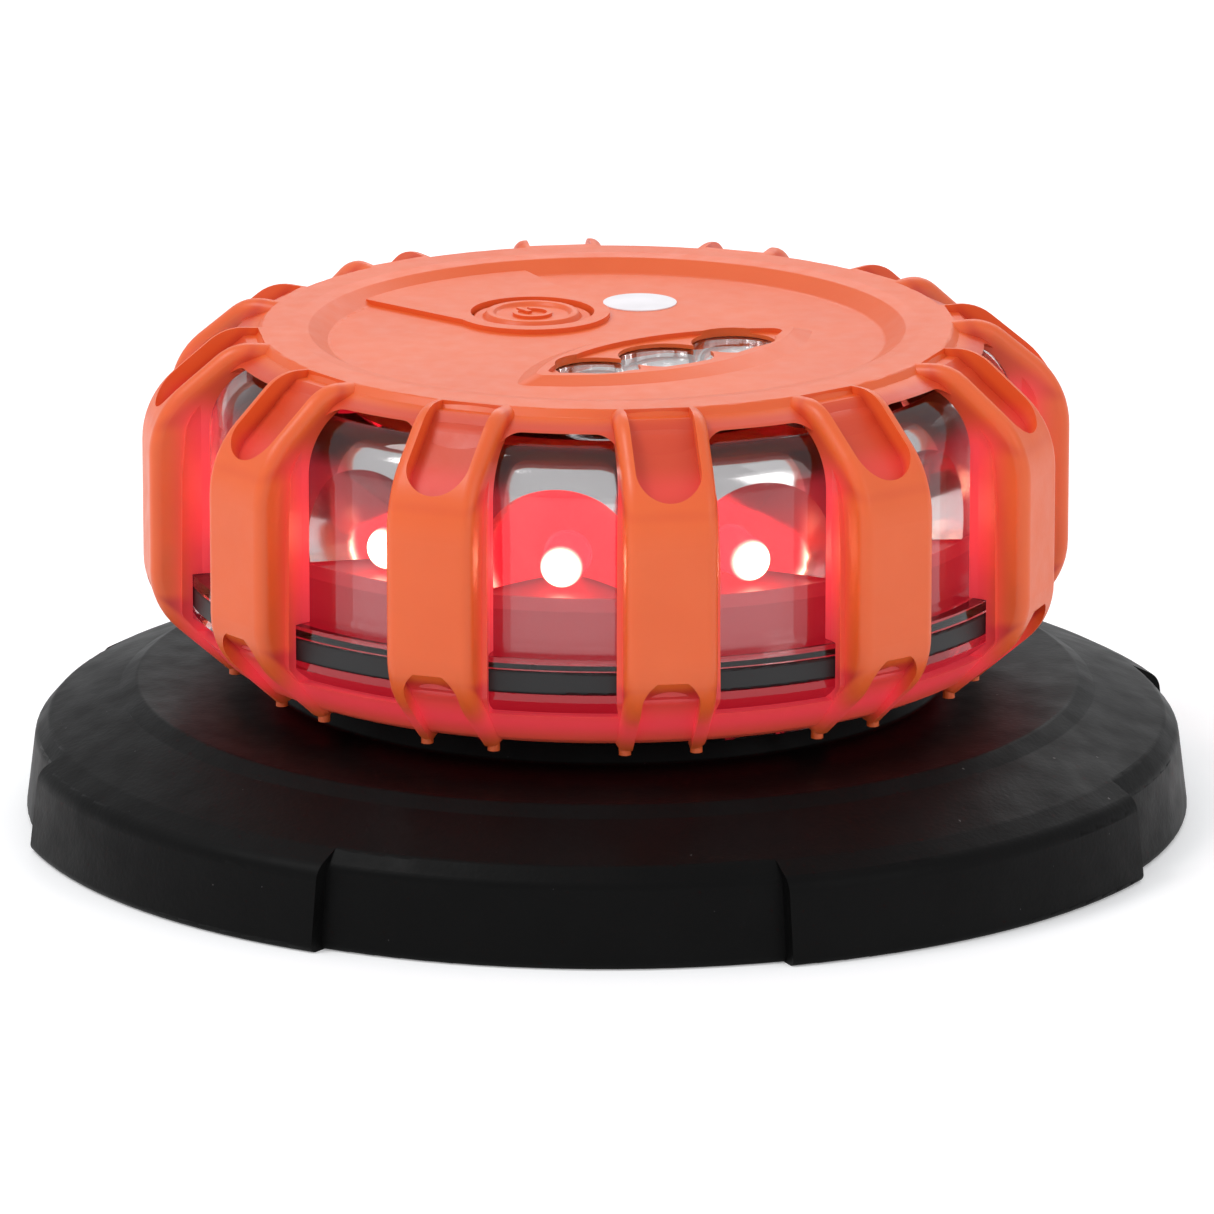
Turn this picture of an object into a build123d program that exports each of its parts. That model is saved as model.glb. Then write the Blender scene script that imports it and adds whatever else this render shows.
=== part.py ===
from build123d import *
import os
from math import cos, radians, sin, sqrt

# LED safety flare: a rubber-jacketed warning light that stands on a round rubber base.
# Its magnet holds it on the base's steel keeper, and it lifts straight off.
# Millimetres, +Z up, origin at the centre of the base's underside.

# ---- Driving dimensions: base ----
base_radius = 69.4
base_wall_top = (68.2, 9.4)
base_shoulder = (64.8, 11.2)
base_slope_top = (56.6, 14.3)
base_platform = (54.6, 15.5)
base_seat_radius = 38.0
base_seat_height = 18.0
base_recess_depth = 1.8
base_recess_flank = 2.5
base_recess_angle = 42.0
base_recess_count = 4
keeper_radius = 32.0
keeper_thickness = 2.0

# ---- Driving dimensions: flare ----
# The flare's own heights are measured up from its underside, which stands at flare_seat.
flare_seat = base_seat_height + 0.2
torch_heading = -46.6
rib_count = 12
rib_radius = 53.5
rib_width = 10.4
rib_apex = (43.8, 39.2)
rib_shoulder = (rib_radius, 31.1)
rib_heel = (rib_radius, 8.4)
rib_toe = (44.4, 0.4)
scoop_width = 7.4
scoop_depth = 2.2
scoop_reach = 11.7
arch_width = 6.6
arch_depth = 1.8
arch_top = 9.3
window_width = 14.6
window_bottom = 5.6
window_top = 36.9
rim_height = 38.9
disc_height = 37.2
disc_radius = 32.0
relief_step = 0.6
fit_gap = 0.08

housing_radius = 46.8
housing_wall = 2.0
housing_shoulder = 7.6
housing_top = 37.0
housing_disc_top = 36.0
housing_ceiling = 34.2
flange_radius = 49.0
flange_bottom = 10.9
flange_top = 12.3
cover_radius = 48.6
cover_flange_bottom = 7.2
cover_flange_top = 8.1
cover_belly = (43.6, 3.2)
cover_foot_radius = 40.4
cover_floor = 1.8
cover_step = 4.6

board_radius = 44.2
board_bottom = 16.6
board_thickness = 1.6
board_top = board_bottom + board_thickness
upper_board_radius = 27.0
upper_board_bottom = 27.0
upper_board_thickness = 1.2
upper_board_top = upper_board_bottom + upper_board_thickness

led_radius = 2.5
led_length = 8.6
led_tip_radius = 43.0
led_axis_height = board_top + 0.3 + led_radius
led_back = led_tip_radius - led_length
reflector_radius = 44.4

boss_circle = 36.4
boss_radius = 3.2
post_circle = 38.0
upper_post_circle = upper_board_radius - 3.2
torch_offset = 11.0
torch_bowls = ((-9.9, 4.9), (0.0, 5.5), (9.9, 4.9))
torch_bowl_centre = 36.4
torch_led_spacing = 9.9
torch_mouth = (34.8, 13.0)
torch_mouth_floor = 37.45
torch_dome = (33.0, 13.8)
torch_dome_top = 36.9
torch_dome_wall = 0.6
button_offset = -14.1
button_radius = 6.9
button_stem_radius = 3.0
button_stem_bottom = 32.7
cell_radius = 5.25
cell_length = 43.5
cell_pitch = 11.0
cell_axis_height = 9.95
bay_floor = cell_axis_height - cell_radius - 0.1
bay_depth = 7.6
bay_length = cell_length + 4.4
bay_width = 3 * cell_pitch + 0.6
magnet_radius = 11.4
magnet_cup_radius = 12.6
magnet_pocket_depth = 2.8


# Upright plane through the flare's axis: x outwards, y up from the flare's underside.
flare_section = Plane(origin=(0, 0, flare_seat), x_dir=(1, 0, 0), z_dir=(0, -1, 0))


def flare_level(height):
    """Level plane at a height above the flare's underside, with x towards the torch."""
    heading = radians(torch_heading)
    return Plane(
        origin=(0, 0, flare_seat + height),
        x_dir=(cos(heading), sin(heading), 0),
        z_dir=(0, 0, 1),
    )


def flare_wall(radius):
    """Upright plane across the +X direction at a radius: x sideways, y up, facing out."""
    return Plane(origin=(radius, 0, flare_seat), x_dir=(0, 1, 0), z_dir=(1, 0, 0))


# Level with the cells' axes: x across the cells, z along them.
cell_plane = Plane(
    origin=flare_level(cell_axis_height).origin,
    x_dir=flare_level(0).x_dir,
    z_dir=flare_level(0).y_dir,
)

# Upright plane through the button's axis.
button_section = Plane(
    origin=flare_level(0).from_local_coords((button_offset, 0, 0)),
    x_dir=flare_level(0).x_dir,
    z_dir=-flare_level(0).y_dir,
)


def eye_shape(length, width):
    """Flat eye shape of two arcs with eased tips, long along y."""
    with BuildSketch(mode=Mode.PRIVATE) as eye:
        with BuildLine():
            ThreePointArc((0, -length / 2), (width / 2, 0), (0, length / 2))
            ThreePointArc((0, length / 2), (-width / 2, 0), (0, -length / 2))
        make_face()
        fillet(eye.vertices(), 1.2)
    return eye.sketch


def finish(builder, name):
    """Label a finished sub-part and write it to its own STEP file."""
    builder.part.label = name
    export_step(builder.part, f"parts/{name}.step")


os.makedirs("parts", exist_ok=True)


# ---- Base ----

def base_outline(setback):
    """Outline of the base in an upright plane, with its outer wall set back."""
    with BuildSketch(Plane.XZ, mode=Mode.PRIVATE) as outline:
        with BuildLine():
            FilletPolyline(
                (0, 0),
                (base_radius - setback, 0),
                (base_wall_top[0] - setback, base_wall_top[1]),
                base_shoulder,
                base_slope_top,
                base_platform,
                (base_seat_radius + 1.0, base_platform[1]),
                (base_seat_radius, base_seat_height),
                (0, base_seat_height),
                radius=[0.8, 1.6 if setback else 2.4, 1.2 if setback else 2.4, 0.9, 0.9, 0.5, 0.5],
            )
            Line((0, base_seat_height), (0, 0))
        make_face()
    return outline.sketch


# Sector that is set back between two lobes, down to a slimmer copy of the base.
with BuildPart() as base_recess_cutter:
    with BuildSketch():
        with BuildLine():
            inner_arc = CenterArc(
                (0, 0), base_slope_top[0], -base_recess_angle / 2, base_recess_angle
            )
            outer_arc = CenterArc(
                (0, 0),
                base_radius + 6,
                -base_recess_angle / 2 - base_recess_flank,
                base_recess_angle + 2 * base_recess_flank,
            )
            Line(inner_arc @ 0, outer_arc @ 0)
            Line(inner_arc @ 1, outer_arc @ 1)
        make_face()
    extrude(amount=base_seat_height)
    add(base_outline(base_recess_depth))
    revolve(axis=Axis.Z, mode=Mode.SUBTRACT)

with BuildPart() as rubber_base:
    add(base_outline(0))
    revolve(axis=Axis.Z)
    # Shallow flats set back between the four lobes.
    with PolarLocations(0, base_recess_count):
        add(base_recess_cutter.part, mode=Mode.SUBTRACT)
    # Pocket for the steel keeper, flush with the seat.
    with BuildSketch(Plane.XY.offset(base_seat_height)):
        Circle(keeper_radius + fit_gap)
    extrude(amount=-keeper_thickness, mode=Mode.SUBTRACT)
finish(rubber_base, "rubber_base")

with BuildPart() as steel_keeper:
    with BuildSketch(Plane.XY.offset(base_seat_height - keeper_thickness)):
        Circle(keeper_radius)
    extrude(amount=keeper_thickness)
    fillet(steel_keeper.edges().group_by(Axis.Z)[-1], 0.3)
finish(steel_keeper, "steel_keeper")


# ---- Clear housing and bottom cover ----

with BuildPart() as lens_housing:
    with BuildSketch(flare_section):
        with BuildLine():
            arc_start = housing_radius - housing_shoulder
            inner_radius = housing_radius - housing_wall
            inner_shoulder = housing_shoulder - housing_wall - 0.8
            outer = Polyline(
                (0, housing_disc_top),
                (disc_radius, housing_disc_top),
                (disc_radius + 1.4, housing_top),
                (arc_start, housing_top),
            )
            shoulder = TangentArc(
                outer @ 1, (housing_radius, housing_top - housing_shoulder), tangent=(1, 0)
            )
            flange = Polyline(
                shoulder @ 1,
                (housing_radius, flange_top),
                (flange_radius, flange_top),
                (flange_radius, flange_bottom),
                (inner_radius, flange_bottom),
                (inner_radius, housing_ceiling - inner_shoulder),
            )
            cove = TangentArc(
                flange @ 1,
                (inner_radius - inner_shoulder, housing_ceiling),
                tangent=(0, 1),
            )
            Polyline(cove @ 1, (0, housing_ceiling), outer @ 0)
        make_face()
    revolve(axis=Axis.Z)
    # Raised clear window over the torch, hollow beneath.
    with BuildSketch(flare_level(housing_ceiling)):
        with Locations((torch_offset, 0)):
            SlotOverall(*torch_dome, rotation=90)
    extrude(amount=torch_dome_top - housing_ceiling)
    with BuildSketch(flare_level(housing_ceiling)):
        with Locations((torch_offset, 0)):
            dome_inside = [size - 2 * torch_dome_wall for size in torch_dome]
            SlotOverall(*dome_inside, rotation=90)
    extrude(amount=torch_dome_top - torch_dome_wall - housing_ceiling, mode=Mode.SUBTRACT)
    # Screw bosses that take the cover screws from below.
    with BuildSketch(flare_level(housing_ceiling)):
        with PolarLocations(boss_circle, 4):
            Circle(boss_radius)
    extrude(amount=-(housing_ceiling - cover_step - 1.0))
    # Short bosses for the upper board.
    with BuildSketch(flare_level(housing_ceiling)):
        with PolarLocations(upper_post_circle, 3, start_angle=60):
            Circle(2.2)
    extrude(amount=-(housing_ceiling - upper_board_top))
    # Collar and pocket for the button's seal and flange.
    with BuildSketch(flare_level(housing_ceiling)):
        with Locations((button_offset, 0)):
            Circle(5.8)
    extrude(amount=-1.2)
    with BuildSketch(flare_level(housing_disc_top)):
        with Locations((button_offset, 0)):
            Circle(button_radius + 0.8)
    extrude(amount=-0.8, mode=Mode.SUBTRACT)
    with BuildSketch(flare_level(housing_disc_top - 0.8)):
        with Locations((button_offset, 0)):
            Circle(4.4)
    extrude(amount=-1.6, mode=Mode.SUBTRACT)
    with BuildSketch(flare_level(housing_disc_top)):
        with Locations((button_offset, 0)):
            Circle(button_stem_radius + 0.3)
    extrude(amount=-4, mode=Mode.SUBTRACT)
    # Pilot holes for the screws.
    with BuildSketch(flare_level(cover_step)):
        with PolarLocations(boss_circle, 4):
            Circle(1.2)
    extrude(amount=12, mode=Mode.SUBTRACT)
    with BuildSketch(flare_level(upper_board_top)):
        with PolarLocations(upper_post_circle, 3, start_angle=60):
            Circle(0.8)
    extrude(amount=4.5, mode=Mode.SUBTRACT)
finish(lens_housing, "lens_housing")

with BuildPart() as bottom_cover:
    with BuildSketch(flare_section):
        with BuildLine():
            Polyline(
                (0, 0),
                (cover_foot_radius, 0),
                (cover_foot_radius, cover_belly[1]),
                cover_belly,
                (cover_radius, cover_flange_bottom),
                (cover_radius, cover_flange_top),
                (45.0, cover_flange_top),
                (43.4, cover_step),
                (38.6, cover_step),
                (38.6, cover_floor),
                (0, cover_floor),
                close=True,
            )
        make_face()
    revolve(axis=Axis.Z)
    # Central boss over the magnet and bosses over the screws.
    with BuildSketch(flare_level(0)):
        Circle(magnet_cup_radius + 1.6)
    extrude(amount=magnet_pocket_depth + 0.8)
    with BuildSketch(flare_level(0)):
        with PolarLocations(boss_circle, 4):
            Circle(3.8)
    extrude(amount=cover_step)
    with BuildSketch(flare_level(0)):
        Circle(magnet_cup_radius + fit_gap)
    extrude(amount=magnet_pocket_depth, mode=Mode.SUBTRACT)
    with BuildSketch(flare_level(0)):
        with PolarLocations(boss_circle, 4):
            Circle(3.1)
    extrude(amount=2.2, mode=Mode.SUBTRACT)
    with BuildSketch(flare_level(0)):
        with PolarLocations(boss_circle, 4):
            Circle(1.7)
    extrude(amount=cover_step, mode=Mode.SUBTRACT)
finish(bottom_cover, "bottom_cover")

with BuildPart() as seal_ring:
    with BuildSketch(flare_section):
        with Locations((47.3, (cover_flange_top + flange_bottom) / 2)):
            RectangleRounded(3.2, flange_bottom - cover_flange_top, 0.45)
    revolve(axis=Axis.Z)
finish(seal_ring, "seal_ring")

with BuildPart() as cover_screws:
    with BuildSketch(flare_level(0.3)):
        with PolarLocations(boss_circle, 4):
            Circle(2.8)
    extrude(amount=1.8)
    with BuildSketch(flare_level(2.1)):
        with PolarLocations(boss_circle, 4):
            Circle(1.15)
    extrude(amount=11)
    # Cross recesses in the heads.
    with BuildSketch(flare_level(0.3)):
        with PolarLocations(boss_circle, 4):
            Rectangle(3.0, 0.7)
            Rectangle(0.7, 3.0)
    extrude(amount=1.0, mode=Mode.SUBTRACT)
finish(cover_screws, "cover_screws")

with BuildPart() as magnet_cup:
    with BuildSketch(flare_level(0.1)):
        Circle(magnet_cup_radius)
    extrude(amount=magnet_pocket_depth - 0.1)
    with BuildSketch(flare_level(0.1)):
        Circle(magnet_radius + fit_gap)
    extrude(amount=magnet_pocket_depth - 1.1, mode=Mode.SUBTRACT)
finish(magnet_cup, "magnet_cup")

with BuildPart() as magnet:
    with BuildSketch(flare_level(0.1)):
        Circle(magnet_radius)
    extrude(amount=magnet_pocket_depth - 1.1)
finish(magnet, "magnet")


# ---- Rubber jacket ----

# Space inside the jacket: the outline of the housing, seal and cover plus a small gap.
with BuildPart() as jacket_cavity:
    with BuildSketch(flare_section):
        with BuildLine():
            top = Polyline(
                (0, housing_disc_top + fit_gap),
                (disc_radius, housing_disc_top + fit_gap),
                (disc_radius + 1.4, housing_top + fit_gap),
                (housing_radius - housing_shoulder, housing_top + fit_gap),
            )
            bend = TangentArc(
                top @ 1,
                (housing_radius + fit_gap, housing_top - housing_shoulder),
                tangent=(1, 0),
            )
            Polyline(
                bend @ 1,
                (housing_radius + fit_gap, flange_top + fit_gap),
                (flange_radius + fit_gap, flange_top + fit_gap),
                (flange_radius + fit_gap, cover_flange_bottom),
                (cover_belly[0] + fit_gap, cover_belly[1] - fit_gap),
                (cover_foot_radius + fit_gap, cover_belly[1] - fit_gap),
                (cover_foot_radius + fit_gap, -2),
                (0, -2),
                top @ 0,
            )
        make_face()
    revolve(axis=Axis.Z)
    with BuildSketch(flare_level(housing_ceiling)):
        with Locations((torch_offset, 0)):
            SlotOverall(*[size + 2 * fit_gap for size in torch_dome], rotation=90)
    extrude(amount=torch_dome_top + fit_gap - housing_ceiling)

# Plane on a rib's upper slope: x sideways, y up the slope, facing out.
upper_slope = Plane(
    origin=(rib_apex[0], 0, flare_seat + rib_apex[1]),
    x_dir=(0, 1, 0),
    z_dir=(rib_apex[1] - rib_shoulder[1], 0, rib_shoulder[0] - rib_apex[0]),
)

# Plane on a rib's lower slope: x sideways, y up the slope, facing out and down.
lower_slope = Plane(
    origin=(rib_heel[0], 0, flare_seat + rib_heel[1]),
    x_dir=(0, 1, 0),
    z_dir=(rib_heel[1] - rib_toe[1], 0, rib_toe[0] - rib_heel[0]),
)

# One rib: an upright bar with sloped shoulders, scooped out at its top and its foot.
with BuildPart() as rib_blank:
    with BuildSketch(flare_section):
        with BuildLine():
            FilletPolyline(
                (39.0, rim_height),
                rib_apex,
                rib_shoulder,
                rib_heel,
                rib_toe,
                (41.0, 1.3),
                radius=[5.8, 10.5, 9.0, 0.8],
            )
            Polyline((41.0, 1.3), (41.0, 36.0), (39.0, 36.0), (39.0, rim_height))
        make_face()
    extrude(amount=rib_width / 2, both=True)
    side_edges = rib_blank.edges().group_by(Axis.Y)[0] + rib_blank.edges().group_by(Axis.Y)[-1]
    fillet(side_edges.filter_by(lambda edge: edge.center().X > 41.1), 1.3)
    # Upper scoop, a round-ended pocket that is open at the rim.
    with BuildSketch(upper_slope.offset(-scoop_depth)):
        with Locations((0, scoop_width / 2 - scoop_reach)):
            Circle(scoop_width / 2)
        Rectangle(scoop_width, 2 * (scoop_reach - scoop_width / 2))
    extrude(amount=scoop_depth + 4, mode=Mode.SUBTRACT)
    with Locations((41.9, 0, flare_seat + rim_height + 1.2)):
        Box(3.8, scoop_width, 4.0, mode=Mode.SUBTRACT)
    # Lower scoop, an arch that is cut straight in and then runs down to the foot.
    with BuildSketch(flare_wall(rib_radius + 1)):
        with Locations((0, arch_top - arch_width / 2)):
            Circle(arch_width / 2)
        with Locations((0, arch_top - arch_width / 2 - 6)):
            Rectangle(arch_width, 12)
    extrude(amount=-3.6, mode=Mode.SUBTRACT)
    with BuildSketch(lower_slope.offset(-arch_depth)):
        with Locations((0, -8.0)):
            Rectangle(arch_width, 13)
        with Locations((0, -1.5)):
            Circle(arch_width / 2)
    extrude(amount=arch_depth + 4, mode=Mode.SUBTRACT)
    with Locations((43, 0, flare_seat - 0.35)):
        Box(8, arch_width, 3.3, mode=Mode.SUBTRACT)
    # Two small feet beside the arch, which the flare stands on.
    with BuildSketch(Plane.XY.offset(flare_seat)):
        with Locations((43.8, 0)):
            with GridLocations(0, arch_width + 1.5, 1, 2):
                Circle(0.7)
    extrude(amount=2.0)

# One window opening in the skin between two ribs, round at its top corners.
with BuildPart() as window_cutter:
    with BuildSketch(flare_wall(41.0)):
        with Locations((0, (window_top + window_bottom) / 2)):
            Rectangle(window_width, window_top - window_bottom)
        fillet(vertices().group_by(Axis.Y)[-1], 3.2)
    extrude(amount=20)

with BuildPart() as rubber_jacket:
    # Skin of revolution over the housing and cover.
    with BuildSketch(flare_section):
        with BuildLine():
            FilletPolyline(
                (0, disc_height),
                (disc_radius, disc_height),
                (34.4, rim_height - 0.2),
                (36.2, rim_height),
                (39.8, rim_height),
                (40.5, rim_height - 0.9),
                (43.6, window_top),
                (49.6, 30.6),
                (50.2, 24.0),
                (50.4, 7.6),
                (45.4, 2.0),
                (44.0, 1.3),
                (39.0, 1.3),
                radius=[0.8, 0.5, 1.5, 0.4, 0.3, 3.0, 5.0, 2.0, 1.2, 0.6, 0.5],
            )
            Polyline((39.0, 1.3), (0, 1.3), (0, disc_height))
        make_face()
    revolve(axis=Axis.Z)
    with PolarLocations(0, rib_count, start_angle=torch_heading + 180 / rib_count):
        add(window_cutter.part, mode=Mode.SUBTRACT)
    with PolarLocations(0, rib_count, start_angle=torch_heading):
        add(rib_blank.part)
    # Raised fan that runs from the button out to the rim.
    with BuildSketch(flare_level(disc_height)):
        with BuildLine():
            spread = radians(11)
            start = button_offset - 9 * sin(spread)
            width = 9 * cos(spread)
            reach = -34.0
            flare_out = width + (start - reach) * sin(spread) / cos(spread)
            ThreePointArc((start, width), (button_offset + 9, 0), (start, -width))
            Line((start, width), (reach, flare_out))
            Line((reach, flare_out), (reach, -flare_out))
            Line((reach, -flare_out), (start, -width))
        make_face()
    extrude(amount=relief_step)
    # Raised bevel around the torch window.
    for height, length, breadth in ((disc_height, 43.0, 20.4), (disc_height + 0.8, 37.8, 15.6)):
        with BuildSketch(flare_level(height)):
            with Locations((torch_offset, 0)):
                add(eye_shape(length, breadth))
    loft()
    add(jacket_cavity.part, mode=Mode.SUBTRACT)
    # Torch window: an eye-shaped mouth over three round bowls.
    with BuildSketch(flare_level(torch_mouth_floor)):
        with Locations((torch_offset, 0)):
            add(eye_shape(*torch_mouth))
    extrude(amount=2, mode=Mode.SUBTRACT)
    with BuildSketch(flare_level(torch_dome_top - 0.5)):
        for offset, radius in torch_bowls:
            with Locations((torch_offset, offset)):
                Circle(radius)
    extrude(amount=2, mode=Mode.SUBTRACT)
    # Button hole.
    with BuildSketch(flare_level(disc_height + 2)):
        with Locations((button_offset, 0)):
            Circle(button_radius + 0.3)
    extrude(amount=-4, mode=Mode.SUBTRACT)
finish(rubber_jacket, "rubber_jacket")

with BuildPart() as label_dot:
    with BuildSketch(flare_level(disc_height)):
        with Locations((-11.6, 13.9)):
            Circle(4.3)
    extrude(amount=0.12)
finish(label_dot, "label_dot")


# ---- Battery frame and cells ----

with BuildPart() as battery_frame:
    with BuildSketch(flare_section):
        with BuildLine():
            Polyline(
                (0, bay_floor - 1.0),
                (38.2, bay_floor - 1.0),
                (38.2, cover_step),
                (42.2, cover_step),
                (44.2, cover_flange_top),
                (44.2, board_bottom),
                (43.0, board_bottom),
                (43.0, cover_flange_top + 0.6),
                (41.6, cover_step + 1.0),
                (36.8, cover_step + 1.0),
                (36.8, bay_floor),
                (0, bay_floor),
                close=True,
            )
        make_face()
    revolve(axis=Axis.Z)
    # Walls of the cell bay with two low ribs between the cells.
    with BuildSketch(flare_level(bay_floor)):
        Rectangle(bay_width + 2.4, bay_length + 2.4)
        Rectangle(bay_width, bay_length, mode=Mode.SUBTRACT)
    extrude(amount=bay_depth)
    with BuildSketch(flare_level(bay_floor)):
        with GridLocations(cell_pitch, 0, 2, 1):
            Rectangle(0.4, bay_length)
    extrude(amount=3.2)
    # Posts that carry the main board.
    with BuildSketch(flare_level(cover_step)):
        with PolarLocations(post_circle, 4, start_angle=30):
            Circle(2.8)
    extrude(amount=board_bottom - cover_step)
    with BuildSketch(flare_level(board_bottom)):
        with PolarLocations(post_circle, 4, start_angle=30):
            Circle(0.9)
    extrude(amount=-7, mode=Mode.SUBTRACT)
    # Clearance around the housing's and the cover's screw bosses.
    with BuildSketch(flare_level(0)):
        with PolarLocations(boss_circle, 4):
            Circle(4.2)
    extrude(amount=board_bottom, mode=Mode.SUBTRACT)
finish(battery_frame, "battery_frame")

with BuildPart() as battery_cells:
    with BuildSketch(cell_plane.offset(-cell_length / 2 + 0.9)):
        with GridLocations(cell_pitch, 0, 3, 1):
            Circle(cell_radius)
    extrude(amount=cell_length)
    fillet(battery_cells.edges().filter_by(GeomType.CIRCLE), 0.5)
    with BuildSketch(cell_plane.offset(cell_length / 2 + 0.9)):
        with GridLocations(cell_pitch, 0, 3, 1):
            Circle(1.9)
    extrude(amount=0.8)
finish(battery_cells, "battery_cells")

with BuildPart() as contact_plates:
    with BuildSketch(cell_plane.offset(bay_length / 2)):
        with GridLocations(cell_pitch, 0, 3, 1):
            Rectangle(7.0, 7.0)
    extrude(amount=-0.4)
finish(contact_plates, "contact_plates")

# Conical contact springs, each a stack of narrowing turns.
with BuildPart() as contact_springs:
    for turn in range(3):
        turn_radius = 3.2 - 0.7 * turn
        with BuildSketch(cell_plane.offset(-bay_length / 2 + 0.2 + 0.75 * turn)):
            with GridLocations(cell_pitch, 0, 3, 1):
                Circle(turn_radius)
                Circle(turn_radius - 0.8, mode=Mode.SUBTRACT)
        extrude(amount=0.8)
finish(contact_springs, "contact_springs")


# ---- Main board and its red LEDs ----

with BuildPart() as main_board:
    with BuildSketch(flare_level(board_bottom)):
        Circle(board_radius)
        with PolarLocations(boss_circle, 4):
            Circle(boss_radius + 0.3, mode=Mode.SUBTRACT)
        with PolarLocations(post_circle, 4, start_angle=30):
            Circle(1.1, mode=Mode.SUBTRACT)
        with PolarLocations(led_back - 1.25, rib_count, start_angle=180 / rib_count):
            with GridLocations(0, 2.54, 1, 2):
                Circle(0.5, mode=Mode.SUBTRACT)
    extrude(amount=board_thickness)
finish(main_board, "main_board")

with BuildPart() as board_screws:
    with BuildSketch(flare_level(board_top)):
        with PolarLocations(post_circle, 4, start_angle=30):
            Circle(1.9)
    extrude(amount=1.2)
    fillet(board_screws.edges().group_by(Axis.Z)[-1], 0.4)
    with BuildSketch(flare_level(board_top)):
        with PolarLocations(post_circle, 4, start_angle=30):
            Circle(0.86)
    extrude(amount=-7.5)
finish(board_screws, "board_screws")

# One red LED lying on the board with its dome outwards.
with BuildPart() as led_blank:
    with BuildSketch(flare_section):
        with BuildLine():
            base_line = Line((led_back, led_axis_height), (led_tip_radius, led_axis_height))
            dome = RadiusArc(
                base_line @ 1, (led_tip_radius - led_radius, led_axis_height + led_radius), -led_radius
            )
            Polyline(
                dome @ 1,
                (led_back + 1.0, led_axis_height + led_radius),
                (led_back + 1.0, led_axis_height + led_radius + 0.3),
                (led_back, led_axis_height + led_radius + 0.3),
                (led_back, led_axis_height),
            )
        make_face()
    revolve(axis=Axis((0, 0, flare_seat + led_axis_height), (1, 0, 0)))

# Its two leads, which leave the back and turn down into the board.
with BuildPart() as lead_blank:
    with BuildSketch(flare_section):
        with Locations((led_back - 0.75, led_axis_height)):
            Rectangle(1.5, 0.5)
        with Locations((led_back - 1.25, (led_axis_height + board_bottom) / 2)):
            Rectangle(0.5, led_axis_height - board_bottom + 0.5)
    extrude(amount=0.25, both=True)

with BuildPart() as red_leds:
    with PolarLocations(0, rib_count, start_angle=torch_heading + 180 / rib_count):
        add(led_blank.part)
finish(red_leds, "red_leds")

with BuildPart() as led_leads:
    with PolarLocations(0, rib_count, start_angle=torch_heading + 180 / rib_count):
        with Locations((0, -1.27), (0, 1.27)):
            add(lead_blank.part)
finish(led_leads, "led_leads")

with BuildPart() as resistors:
    with BuildSketch(flare_level(board_top)):
        with PolarLocations(29.5, rib_count, start_angle=180 / rib_count):
            Rectangle(2.0, 1.25)
    extrude(amount=0.5)
finish(resistors, "resistors")

with BuildPart() as driver_chip:
    with BuildSketch(flare_level(board_top)):
        with Locations((-8, 8)):
            Rectangle(5.0, 4.0)
    extrude(amount=1.5)
    chamfer(driver_chip.edges().group_by(Axis.Z)[-1], 0.3)
finish(driver_chip, "driver_chip")

# Bright ring of conical cups, one around each red LED.
with BuildPart() as reflector_cup_cutter:
    with BuildSketch(flare_wall(led_back + 1.0)):
        with Locations((0, led_axis_height)):
            Circle(led_radius + 0.2)
    with BuildSketch(flare_wall(reflector_radius + 0.6)):
        with Locations((0, led_axis_height)):
            Circle(10.4)
    loft()

with BuildPart() as reflector_ring:
    with BuildSketch(flare_section):
        with Locations(((reflector_radius + led_back + 1.2) / 2, (board_top + housing_ceiling) / 2 + 0.1)):
            Rectangle(reflector_radius - led_back - 1.2, housing_ceiling - board_top - 0.4)
        fillet(vertices().sort_by(Axis.X)[-2:].sort_by(Axis.Y)[-1], 5.6)
    revolve(axis=Axis.Z)
    with PolarLocations(0, rib_count, start_angle=torch_heading + 180 / rib_count):
        add(reflector_cup_cutter.part, mode=Mode.SUBTRACT)
    with BuildSketch(flare_level(board_top)):
        with PolarLocations(boss_circle, 4):
            Circle(boss_radius + 0.3)
    extrude(amount=20, mode=Mode.SUBTRACT)
    with BuildSketch(flare_level(board_top)):
        with PolarLocations(post_circle, 4, start_angle=30):
            Circle(2.3)
    extrude(amount=2.0, mode=Mode.SUBTRACT)
finish(reflector_ring, "reflector_ring")


# ---- Upper board with the torch and the switch ----

with BuildPart() as upper_board:
    with BuildSketch(flare_level(upper_board_bottom)):
        Circle(upper_board_radius)
        with PolarLocations(upper_post_circle, 3, start_angle=60):
            Circle(1.0, mode=Mode.SUBTRACT)
    extrude(amount=upper_board_thickness)
finish(upper_board, "upper_board")

with BuildPart() as upper_board_screws:
    with BuildSketch(flare_level(upper_board_bottom)):
        with PolarLocations(upper_post_circle, 3, start_angle=60):
            Circle(1.7)
    extrude(amount=-1.1)
    with BuildSketch(flare_level(upper_board_bottom)):
        with PolarLocations(upper_post_circle, 3, start_angle=60):
            Circle(0.76)
    extrude(amount=5.2)
finish(upper_board_screws, "upper_board_screws")

with BuildPart() as link_pins:
    with BuildSketch(flare_level(board_top)):
        with Locations((0, -20)):
            with GridLocations(2.54, 0, 4, 1):
                Rectangle(0.64, 0.64)
    extrude(amount=upper_board_bottom - board_top)
finish(link_pins, "link_pins")

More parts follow.
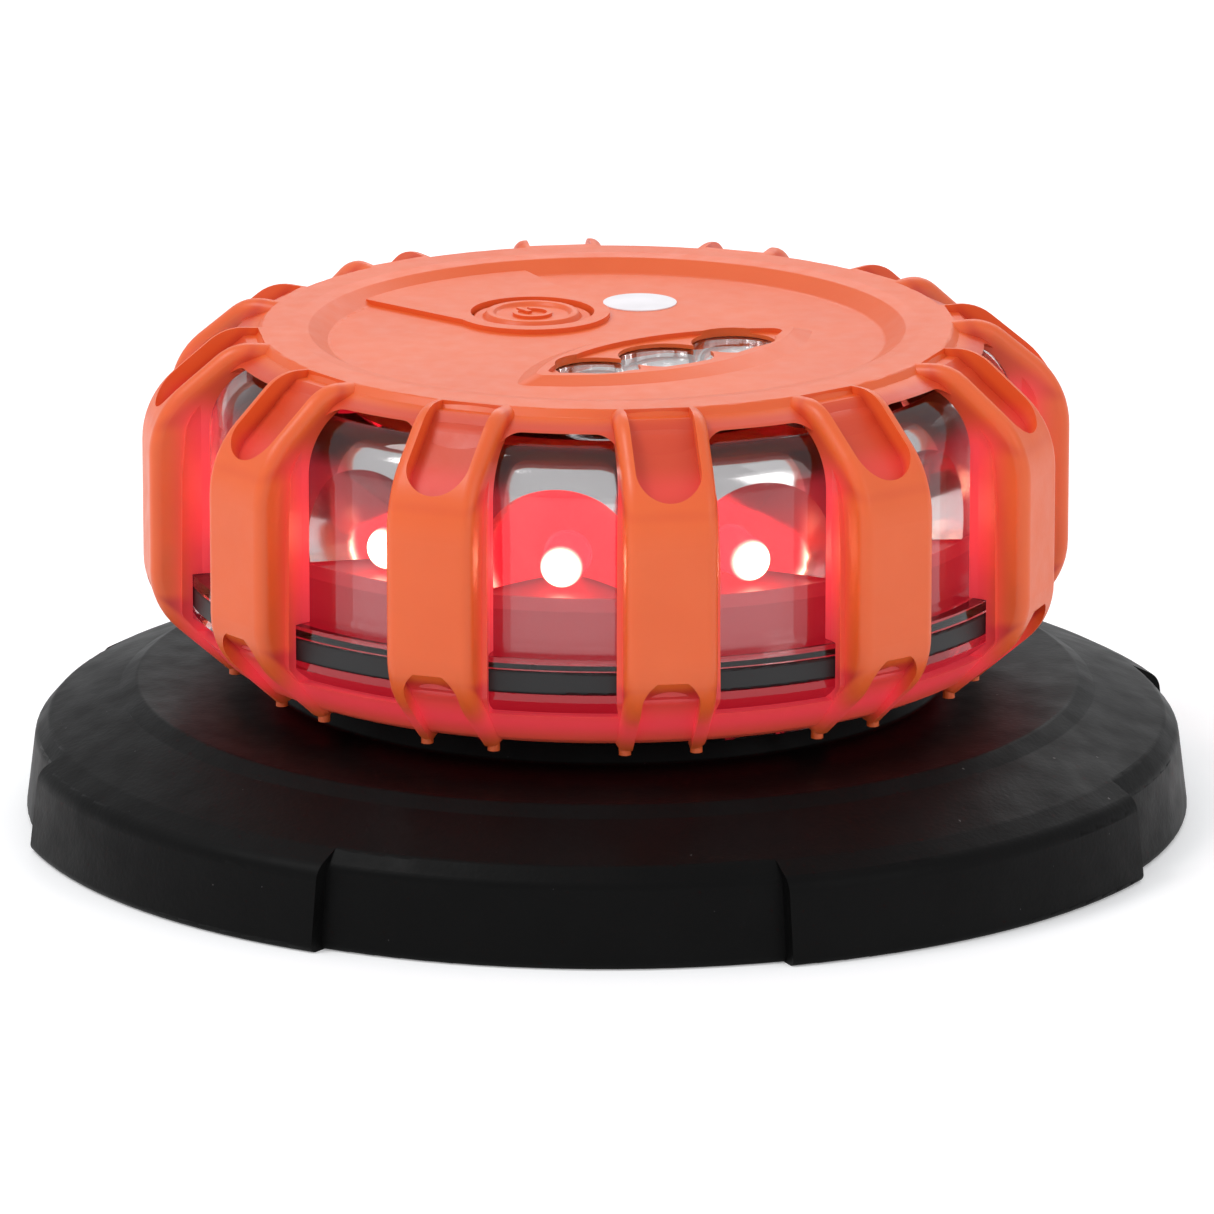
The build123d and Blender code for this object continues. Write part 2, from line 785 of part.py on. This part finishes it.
# Bright three-bowl reflector under the torch window.
with BuildPart() as torch_reflector:
    reflector_slot = [size - 2 * torch_dome_wall - 0.4 for size in torch_dome]
    reflector_top = torch_dome_top - torch_dome_wall - 0.1
    with BuildSketch(flare_level(upper_board_top + 0.1)):
        with Locations((torch_offset, 0)):
            SlotOverall(*reflector_slot, rotation=90)
    extrude(amount=reflector_top - upper_board_top - 0.1)
    for offset, radius in torch_bowls:
        with Locations(flare_level(torch_bowl_centre)):
            with Locations((torch_offset, offset)):
                Sphere(radius + 0.5, mode=Mode.SUBTRACT)
        with BuildSketch(flare_level(upper_board_top)):
            with Locations((torch_offset, offset)):
                Circle(2.2)
        extrude(amount=4, mode=Mode.SUBTRACT)
finish(torch_reflector, "torch_reflector")

with BuildPart() as torch_leds:
    with BuildSketch(flare_level(upper_board_top)):
        with Locations((torch_offset, 0)):
            with GridLocations(0, torch_led_spacing, 1, 3):
                Rectangle(2.8, 2.8)
    extrude(amount=0.8)
    with Locations(flare_level(upper_board_top + 0.8)):
        with Locations((torch_offset, 0)):
            with GridLocations(0, torch_led_spacing, 1, 3):
                Sphere(1.2, arc_size1=0)
finish(torch_leds, "torch_leds")

with BuildPart() as tactile_switch:
    with BuildSketch(flare_level(upper_board_top)):
        with Locations((button_offset, 0)):
            Rectangle(6.0, 6.0)
    extrude(amount=3.4)
    with BuildSketch(flare_level(upper_board_top + 3.4)):
        with Locations((button_offset, 0)):
            Circle(1.65)
    extrude(amount=-2.2, mode=Mode.SUBTRACT)
finish(tactile_switch, "tactile_switch")


# ---- Power button ----

with BuildPart() as switch_plunger:
    with BuildSketch(flare_level(upper_board_top + 2.1)):
        with Locations((button_offset, 0)):
            Circle(1.6)
    extrude(amount=button_stem_bottom - upper_board_top - 2.1)
finish(switch_plunger, "switch_plunger")

with BuildPart() as button_seal:
    with BuildSketch(flare_level(housing_disc_top - 2.4)):
        with Locations((button_offset, 0)):
            Circle(4.36)
            Circle(button_stem_radius + 0.05, mode=Mode.SUBTRACT)
    extrude(amount=1.5)
finish(button_seal, "button_seal")

# Round key with a raised ring, a generic on-off mark and a stem.
with BuildPart() as button_cap:
    with BuildSketch(button_section):
        with BuildLine():
            FilletPolyline(
                (0, button_stem_bottom),
                (button_stem_radius, button_stem_bottom),
                (button_stem_radius, 36.1),
                (button_radius, 36.1),
                (button_radius, 37.3),
                (5.8, 37.1),
                (5.3, 37.85),
                (4.6, 37.85),
                (4.2, 37.4),
                (0, 37.4),
                radius=[0.2, 0, 0.2, 0.3, 0.3, 0.25, 0.25, 0.3],
            )
            Line((0, 37.4), (0, button_stem_bottom))
        make_face()
    revolve(axis=Axis(button_section.origin, (0, 0, 1)))
    with BuildSketch(flare_level(37.3)):
        with Locations((button_offset, 0)):
            Circle(2.3)
            Circle(1.7, mode=Mode.SUBTRACT)
            with Locations((-1.6, 0)):
                Rectangle(2.2, 1.7, mode=Mode.SUBTRACT)
                Rectangle(2.2, 0.6)
    extrude(amount=0.45)
finish(button_cap, "button_cap")
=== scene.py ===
from math import cos, radians, sin

import bpy
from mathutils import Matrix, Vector

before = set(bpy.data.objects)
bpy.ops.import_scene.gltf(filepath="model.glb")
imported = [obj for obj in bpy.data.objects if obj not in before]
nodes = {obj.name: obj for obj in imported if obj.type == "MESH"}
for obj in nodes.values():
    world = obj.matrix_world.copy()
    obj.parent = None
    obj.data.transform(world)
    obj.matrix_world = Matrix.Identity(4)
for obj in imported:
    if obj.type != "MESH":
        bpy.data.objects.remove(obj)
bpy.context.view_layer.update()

MM = 0.001


# ---------- Camera, light and floor ----------

view_azimuth = 5.5
view_elevation = 15.2
view_distance = 1275 * MM
view_target = Vector((0, 0, 23.4 * MM))
frame_half_width = 70.4 * MM
sensor_width = 36
floor_half_size = 6.0

# Soft lights in metres and watts, all aimed at the middle of the flare:
# name, place, size and power.
light_target = (0, 0, 0.03)
lights = (
    ("key", (-0.5, -0.25, 0.85), (0.35, 0.35), 3.2),
    ("fill", (0.8, -0.5, 0.5), (0.25, 0.6), 0.9),
    ("back", (0.1, 0.9, 0.6), (0.8, 0.3), 1.8),
)


def add_camera():
    """Long lens from a little above the flare, at the angle of the reference view."""
    azimuth = radians(view_azimuth)
    elevation = radians(view_elevation)
    back = Vector((
        sin(azimuth) * cos(elevation),
        -cos(azimuth) * cos(elevation),
        sin(elevation),
    ))
    data = bpy.data.cameras.new("camera")
    data.sensor_width = sensor_width
    data.lens = sensor_width / 2 * view_distance / frame_half_width
    data.clip_start = 0.05
    data.clip_end = 50
    camera = bpy.data.objects.new("camera", data)
    camera.location = view_target + back * view_distance
    camera.rotation_mode = "QUATERNION"
    camera.rotation_quaternion = (-back).to_track_quat("-Z", "Y")
    bpy.context.scene.collection.objects.link(camera)
    bpy.context.scene.camera = camera


def add_area_light(name, location, size, power):
    """Soft rectangular white light aimed at the flare."""
    data = bpy.data.lights.new(name, "AREA")
    data.shape = "RECTANGLE"
    data.size, data.size_y = size
    data.energy = power
    light = bpy.data.objects.new(name, data)
    light.location = location
    light.rotation_mode = "QUATERNION"
    light.rotation_quaternion = (Vector(light_target) - Vector(location)).to_track_quat("-Z", "Y")
    bpy.context.scene.collection.objects.link(light)


def add_studio():
    """Pale floor, pale surroundings and the soft lights."""
    world = bpy.data.worlds.new("studio")
    bpy.context.scene.world = world
    world.use_nodes = True
    background = world.node_tree.nodes["Background"]
    background.inputs["Color"].default_value = (0.97, 0.98, 1.0, 1)
    background.inputs["Strength"].default_value = 0.72
    bpy.context.scene.view_settings.view_transform = "Standard"
    mesh = bpy.data.meshes.new("floor")
    half = floor_half_size
    corners = [(-half, -half, 0), (half, -half, 0), (half, half, 0), (-half, half, 0)]
    mesh.from_pydata(corners, [], [(0, 1, 2, 3)])
    floor = bpy.data.objects.new("floor", mesh)
    bpy.context.scene.collection.objects.link(floor)
    floor.data.materials.append(floor_material())
    for light in lights:
        add_area_light(*light)


# ---------- Material helpers ----------

def new_material(name):
    """New node material; returns it with its node tree and its Principled shader."""
    material = bpy.data.materials.new(name)
    material.use_nodes = True
    tree = material.node_tree
    shader = tree.nodes["Principled BSDF"]
    return material, tree, shader


def noise(tree, scale, detail=4.0, roughness=0.5, source=None):
    """Noise texture, on object coordinates in metres unless a source is given."""
    texture = tree.nodes.new("ShaderNodeTexNoise")
    texture.inputs["Scale"].default_value = scale
    texture.inputs["Detail"].default_value = detail
    texture.inputs["Roughness"].default_value = roughness
    tree.links.new(source or coordinates(tree), texture.inputs["Vector"])
    return texture.outputs["Fac"]


def coordinates(tree):
    """Object coordinates, shared by all textures of a material."""
    for node in tree.nodes:
        if node.type == "TEX_COORD":
            return node.outputs["Object"]
    return tree.nodes.new("ShaderNodeTexCoord").outputs["Object"]


def ramp(tree, source, stops):
    """Colour ramp over a factor; stops are (position, colour or grey)."""
    node = tree.nodes.new("ShaderNodeValToRGB")
    elements = node.color_ramp.elements
    while len(elements) < len(stops):
        elements.new(0.5)
    for element, (position, colour) in zip(elements, stops):
        element.position = position
        if isinstance(colour, (int, float)):
            colour = (colour, colour, colour)
        element.color = (*colour, 1)
    tree.links.new(source, node.inputs["Fac"])
    return node.outputs["Color"]


def bump(tree, shader, height, strength, distance):
    """Fine relief on a shader, from a height."""
    node = tree.nodes.new("ShaderNodeBump")
    node.inputs["Strength"].default_value = strength
    node.inputs["Distance"].default_value = distance
    tree.links.new(height, node.inputs["Height"])
    tree.links.new(node.outputs["Normal"], shader.inputs["Normal"])


def axis_distance(tree):
    """Distance from the flare's axis and height, both in metres."""
    split = tree.nodes.new("ShaderNodeSeparateXYZ")
    tree.links.new(coordinates(tree), split.inputs["Vector"])
    flat = tree.nodes.new("ShaderNodeCombineXYZ")
    tree.links.new(split.outputs["X"], flat.inputs["X"])
    tree.links.new(split.outputs["Y"], flat.inputs["Y"])
    length = tree.nodes.new("ShaderNodeVectorMath")
    length.operation = "LENGTH"
    tree.links.new(flat.outputs["Vector"], length.inputs[0])
    return length.outputs["Value"], split.outputs["Z"]


def slope_depth(tree, distance, height, slope):
    """How far the surface lies outside a slope; less than 0 is inside it."""
    (slope_radius, slope_height), normal = slope
    pair = tree.nodes.new("ShaderNodeCombineXYZ")
    tree.links.new(distance, pair.inputs["X"])
    tree.links.new(height, pair.inputs["Y"])
    offset = tree.nodes.new("ShaderNodeVectorMath")
    offset.operation = "SUBTRACT"
    tree.links.new(pair.outputs["Vector"], offset.inputs[0])
    offset.inputs[1].default_value = (slope_radius, slope_height, 0)
    along = tree.nodes.new("ShaderNodeVectorMath")
    along.operation = "DOT_PRODUCT"
    tree.links.new(offset.outputs["Vector"], along.inputs[0])
    along.inputs[1].default_value = (*normal, 0)
    return along.outputs["Value"]


def between(tree, source, low, high):
    """Factor that rises from 0 to 1 as the source goes from low to high."""
    node = tree.nodes.new("ShaderNodeMapRange")
    node.interpolation_type = "SMOOTHSTEP"
    node.inputs["From Min"].default_value = low
    node.inputs["From Max"].default_value = high
    tree.links.new(source, node.inputs["Value"])
    return node.outputs["Result"]


def multiply(tree, first, second):
    """Product of a factor and another factor or a fixed number."""
    node = tree.nodes.new("ShaderNodeMath")
    node.operation = "MULTIPLY"
    tree.links.new(first, node.inputs[0])
    if isinstance(second, (int, float)):
        node.inputs[1].default_value = second
    else:
        tree.links.new(second, node.inputs[1])
    return node.outputs["Value"]


def mix_colour(tree, factor, first, second):
    """Blend of two colours, each a socket or a fixed colour."""
    node = tree.nodes.new("ShaderNodeMix")
    node.data_type = "RGBA"
    factor_socket, first_socket, second_socket = [slot for slot in node.inputs if slot.enabled]
    tree.links.new(factor, factor_socket)
    for socket, colour in ((first_socket, first), (second_socket, second)):
        if isinstance(colour, tuple):
            socket.default_value = (*colour, 1)
        else:
            tree.links.new(colour, socket)
    return [slot for slot in node.outputs if slot.enabled][0]


# ---------- Materials ----------

# Slopes of the ribs' shoulders and toes: a point as (radius, height), and the way they face.
shoulder_slope = ((43.8 * MM, 57.4 * MM), (0.641, 0.768))
toe_slope = ((53.5 * MM, 26.6 * MM), (0.660, -0.751))

orange = ((0.78, 0.115, 0.020), (0.82, 0.130, 0.026))
# Painted shade: darker orange for the upper scoops' floors.
scoop_painted_shade = (0.66, 0.062, 0.018)
# Painted shade: dark red for the lower arches' floors.
arch_painted_shade = (0.58, 0.035, 0.022)
# Painted red glow where the jacket is thin, standing in for the lamps inside shining through.
painted_backlight_red = (0.80, 0.055, 0.060)
painted_backlight_glow = (1.0, 0.06, 0.10)
painted_backlight_strength = 0.30
# Painted red glow for the battery frame and main board, which are no lamps.
painted_red_glow = (1.0, 0.012, 0.035)
led_body_glow = (1.0, 0.012, 0.03)
led_dome_glow = (1.0, 0.50, 0.32)
led_body_strength = 1.5
led_dome_strength = 16.0
led_dome_start = 40.8 * MM
led_tip_radius = 43.0 * MM
warm_white = (1.0, 0.95, 0.85)


def floor_material():
    """Plain white paper, lit a little by itself to stay pale far away."""
    material, tree, shader = new_material("floor_paper")
    tint = ramp(tree, noise(tree, 3.0), [(0.3, (0.90, 0.905, 0.91)), (0.7, (0.93, 0.93, 0.935))])
    tree.links.new(tint, shader.inputs["Base Color"])
    shader.inputs["Roughness"].default_value = 0.7
    shader.inputs["Emission Color"].default_value = (1, 1, 1, 1)
    shader.inputs["Emission Strength"].default_value = 0.24
    return material


def jacket_material():
    """Satin orange elastomer, with painted shade in the scoops and arches and a painted red glow
    where it is thin, standing in for the red lamps inside shining through.
    """
    material, tree, shader = new_material("jacket_rubber")
    tint = ramp(tree, noise(tree, 60.0, 5.0), [(0.35, orange[0]), (0.65, orange[1])])
    distance, height = axis_distance(tree)
    # Painted red glow on the ribs' flanks and the skin behind them, between the jacket's foot and its
    # shoulder.
    inner = between(tree, distance, 52.4 * MM, 47.2 * MM)
    inner = multiply(tree, inner, between(tree, distance, 41.5 * MM, 45.5 * MM))
    low = between(tree, height, 52.5 * MM, 47.5 * MM)
    glow = multiply(tree, multiply(tree, inner, low), between(tree, height, 18.5 * MM, 23.0 * MM))
    # Painted shade on the floors of the upper scoops: darker orange in the hollows.
    upper = slope_depth(tree, distance, height, shoulder_slope)
    scoops = between(tree, upper, -0.9 * MM, -2.1 * MM)
    scoops = multiply(tree, scoops, between(tree, height, 47 * MM, 49 * MM))
    scoops = multiply(tree, scoops, between(tree, distance, 40.6 * MM, 42.5 * MM))
    tint = mix_colour(tree, scoops, tint, scoop_painted_shade)
    # Painted shade on the floors of the lower arches: dark red in the hollows under the lip.
    lower = slope_depth(tree, distance, height, toe_slope)
    arches = between(tree, lower, -1.0 * MM, -1.7 * MM)
    arches = multiply(tree, arches, between(tree, height, 28.5 * MM, 27 * MM))
    tint = mix_colour(tree, arches, tint, arch_painted_shade)
    # Painted red glow: redder colour and emission over the thin skin.
    tree.links.new(mix_colour(tree, glow, tint, painted_backlight_red), shader.inputs["Base Color"])
    shader.inputs["Emission Color"].default_value = (*painted_backlight_glow, 1)
    tree.links.new(multiply(tree, glow, painted_backlight_strength), shader.inputs["Emission Strength"])
    gloss = ramp(tree, noise(tree, 400.0, 3.0), [(0.3, 0.36), (0.7, 0.46)])
    tree.links.new(gloss, shader.inputs["Roughness"])
    bump(tree, shader, noise(tree, 2500.0, 2.0), 0.10, 0.1 * MM)
    shader.inputs["Subsurface Weight"].default_value = 0.15
    shader.inputs["Subsurface Radius"].default_value = (1.0, 0.25, 0.1)
    shader.inputs["Subsurface Scale"].default_value = 1.5 * MM
    return material


def black_rubber_material():
    """Near-black moulded rubber with a soft sheen, fine scuffs and specks of dust."""
    material, tree, shader = new_material("base_rubber")
    cloudy = ramp(tree, noise(tree, 70.0, 8.0), [(0.3, 0.0020), (0.7, 0.0032)])
    stretch = tree.nodes.new("ShaderNodeMapping")
    stretch.inputs["Scale"].default_value = (1.0, 5.0, 1.0)
    stretch.inputs["Rotation"].default_value = (0, 0, radians(35))
    tree.links.new(coordinates(tree), stretch.inputs["Vector"])
    streaks = noise(tree, 160.0, 10.0, 0.75, stretch.outputs["Vector"])
    scuffs = ramp(tree, streaks, [(0.66, 0.0), (0.80, 1.0)])
    scuffed = mix_colour(tree, scuffs, cloudy, (0.016, 0.0155, 0.0155))
    dust = ramp(tree, noise(tree, 1300.0, 1.0), [(0.80, 0.0), (0.84, 1.0)])
    tree.links.new(mix_colour(tree, dust, scuffed, (0.09, 0.085, 0.085)), shader.inputs["Base Color"])
    gloss = ramp(tree, noise(tree, 220.0, 6.0), [(0.3, 0.40), (0.7, 0.52)])
    tree.links.new(gloss, shader.inputs["Roughness"])
    shader.inputs["Specular IOR Level"].default_value = 0.08
    bump(tree, shader, noise(tree, 1500.0, 3.0), 0.15, 0.2 * MM)
    return material


def clear_material():
    """Clear polycarbonate: a glossy coat over a body that hardly bends light."""
    material, tree, shader = new_material("clear_plastic")
    tint = ramp(tree, noise(tree, 30.0), [(0.3, (0.97, 0.95, 0.95)), (0.7, (1.0, 0.98, 0.98))])
    tree.links.new(tint, shader.inputs["Base Color"])
    gloss = ramp(tree, noise(tree, 700.0, 3.0), [(0.4, 0.015), (0.7, 0.05)])
    tree.links.new(gloss, shader.inputs["Roughness"])
    shader.inputs["Transmission Weight"].default_value = 1.0
    shader.inputs["IOR"].default_value = 1.08
    shader.inputs["Coat Weight"].default_value = 1.0
    shader.inputs["Coat IOR"].default_value = 1.5
    shader.inputs["Coat Roughness"].default_value = 0.02
    return material


def chrome_material(name="bright_reflector", level=0.86, roughness=0.06):
    """Vacuum-metallised plastic."""
    material, tree, shader = new_material(name)
    tint = ramp(tree, noise(tree, 150.0), [(0.3, level), (0.7, level + 0.05)])
    tree.links.new(tint, shader.inputs["Base Color"])
    shader.inputs["Metallic"].default_value = 1.0
    shader.inputs["Roughness"].default_value = roughness
    return material


def plain_material(name, colour, roughness, metallic=0.0):
    """Moulded or machined surface with slight mottling and a fine texture."""
    material, tree, shader = new_material(name)
    darker = tuple(0.9 * c for c in colour)
    tint = ramp(tree, noise(tree, 200.0), [(0.35, darker), (0.65, colour)])
    tree.links.new(tint, shader.inputs["Base Color"])
    shader.inputs["Metallic"].default_value = metallic
    shader.inputs["Roughness"].default_value = roughness
    bump(tree, shader, noise(tree, 3000.0, 2.0), 0.1, 0.1 * MM)
    return material


def glowing_material(name, colour, glow, strength, roughness=0.3):
    """Mottled surface with an even glow of one colour: a lamp's own light for the torch LEDs, painted
    glow for the battery frame and main board.
    """
    material, tree, shader = new_material(name)
    darker = tuple(0.8 * c for c in colour)
    tint = ramp(tree, noise(tree, 300.0), [(0.3, darker), (0.7, colour)])
    tree.links.new(tint, shader.inputs["Base Color"])
    shader.inputs["Roughness"].default_value = roughness
    shader.inputs["Emission Color"].default_value = (*glow, 1)
    shader.inputs["Emission Strength"].default_value = strength
    return material


def red_led_material():
    """Lit red LED: a white-hot dome on a red body."""
    material, tree, shader = new_material("led_epoxy")
    tint = ramp(tree, noise(tree, 500.0), [(0.3, (0.8, 0.02, 0.03)), (0.7, (0.95, 0.03, 0.04))])
    tree.links.new(tint, shader.inputs["Base Color"])
    shader.inputs["Roughness"].default_value = 0.2
    distance, _ = axis_distance(tree)
    tip = between(tree, distance, led_dome_start, led_tip_radius)
    glow = mix_colour(tree, tip, led_body_glow, led_dome_glow)
    tree.links.new(glow, shader.inputs["Emission Color"])
    strength = tree.nodes.new("ShaderNodeMath")
    strength.operation = "ADD"
    strength.inputs[1].default_value = led_body_strength
    tree.links.new(multiply(tree, tip, led_dome_strength), strength.inputs[0])
    tree.links.new(strength.outputs["Value"], shader.inputs["Emission Strength"])
    return material


def give(material, *names):
    """Gives the named nodes one material and no other."""
    for name in names:
        data = nodes[name].data
        data.materials.clear()
        data.materials.append(material)


# ---------- The model, the studio and the camera ----------

give(jacket_material(), "rubber_jacket", "button_cap")
give(black_rubber_material(), "rubber_base")
give(clear_material(), "lens_housing", "bottom_cover")
give(plain_material("seal_rubber", (0.012, 0.012, 0.013), 0.5), "seal_ring", "button_seal")
give(chrome_material(), "torch_reflector")
give(chrome_material("ring_reflector", 0.62, 0.12), "reflector_ring")
# Painted red glow on the battery frame and main board: reddened colour and a faint emission standing
# in for the red LEDs' light inside.
give(glowing_material("frame_plastic", (0.12, 0.012, 0.016), painted_red_glow, 0.30, 0.35), "battery_frame")
give(glowing_material("board_laminate", (0.25, 0.04, 0.045), painted_red_glow, 0.30, 0.3), "main_board")
give(plain_material("board_laminate_upper", (0.7, 0.72, 0.7), 0.35), "upper_board")
give(plain_material("steel", (0.6, 0.6, 0.62), 0.3, 1.0), "cover_screws", "board_screws",
     "upper_board_screws", "steel_keeper", "magnet_cup", "magnet", "contact_plates",
     "contact_springs", "led_leads", "link_pins")
give(plain_material("black_component", (0.03, 0.03, 0.035), 0.4), "resistors", "driver_chip",
     "tactile_switch", "switch_plunger", "battery_cells")
give(plain_material("label_paper", (0.88, 0.85, 0.88), 0.5), "label_dot")
give(red_led_material(), "red_leds")
give(glowing_material("white_led", warm_white, warm_white, 2.0), "torch_leds")
add_studio()
add_camera()
